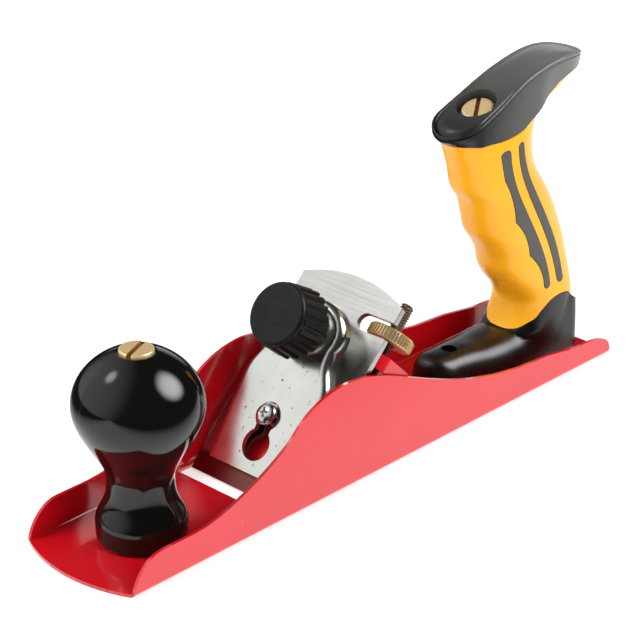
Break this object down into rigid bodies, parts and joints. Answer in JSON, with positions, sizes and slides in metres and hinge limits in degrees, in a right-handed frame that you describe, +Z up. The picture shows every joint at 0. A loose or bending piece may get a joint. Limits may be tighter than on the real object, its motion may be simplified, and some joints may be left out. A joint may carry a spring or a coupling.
{
  "type": "hand plane",
  "caption": "Bench smoothing plane with a pressed steel channel body, a bedded blade under a clamped lever cap, a ball front knob and a moulded pistol grip.",
  "frame": {"origin": "On the underside of the sole, at the middle of its length and width.", "axes": "+X runs from the toe to the heel along the sole, +Y across it away from the adjusting nut, +Z up from the sole."},
  "size_m": [0.2541, 0.0523, 0.1188],
  "materials": {
    "red": "gloss",
    "blade": "ground",
    "plated": "bright plated",
    "steel": "plain",
    "stud": "oxidised",
    "brass": "turned",
    "gloss_black": "gloss",
    "knob_black": "satin",
    "yellow": "satin gloss",
    "grey": "matte"
  },
  "bodies": {
    "plane": {"body_channel": "red", "frog": "red", "adjuster_stud": "stud", "stud_lower_nut": "steel", "stud_upper_nut": "steel", "cap_screw": "plated", "cap_screw_nut": "steel", "front_knob": "gloss_black", "front_knob_nut": "brass", "front_knob_rod": "steel", "handle_top": "gloss_black", "handle_grip": "yellow", "grip_inlay_wide_near": "grey", "grip_inlay_wide_far": "grey", "grip_inlay_slim_near": "grey", "grip_inlay_slim_far": "grey", "handle_foot": "gloss_black", "handle_nut": "brass", "handle_rod": "steel", "handle_toe_screw": "steel"},
    "blade": {"blade": "blade"},
    "adjusting_nut": {"adjuster_nut": "brass"},
    "lever_cap": {"lever_cap": "plated"},
    "clamp_collar": {"clamp_collar": "plated"},
    "clamp_knob": {"clamp_knob": "knob_black", "clamp_screw": "steel"}
  },
  "joints": [
    {"name": "blade_feed", "type": "slide", "parent": "plane", "child": "blade", "axis": [-0.7071, 0, -0.7071], "range_m": [-0.0031, 0.0009]},
    {"name": "adjusting_nut_turn", "type": "hinge", "parent": "blade", "child": "adjusting_nut", "pos_m": [0.00978, -0.0179, 0.04393], "axis": [-0.7071, 0, -0.7071], "range_deg": [-1400, 410]},
    {"name": "lever_cap_slide", "type": "slide", "parent": "plane", "child": "lever_cap", "axis": [0.7071, 0, 0.7071], "range_m": [0, 0.0104]},
    {"name": "clamp_travel", "type": "slide", "parent": "lever_cap", "child": "clamp_collar", "axis": [-0.8141, 0, 0.5807], "range_m": [0, 0.0038]},
    {"name": "clamp_knob_turn", "type": "hinge", "parent": "clamp_collar", "child": "clamp_knob", "pos_m": [-0.01311, 0, 0.0499], "axis": [-0.8141, 0, 0.5807], "range_deg": [-2, 1372]}
  ],
  "couplings": [
    {"joint": "adjusting_nut_turn", "follows": "blade_feed", "rad_per_m": 7854},
    {"joint": "clamp_knob_turn", "follows": "clamp_travel", "rad_per_m": 6283.2}
  ]
}
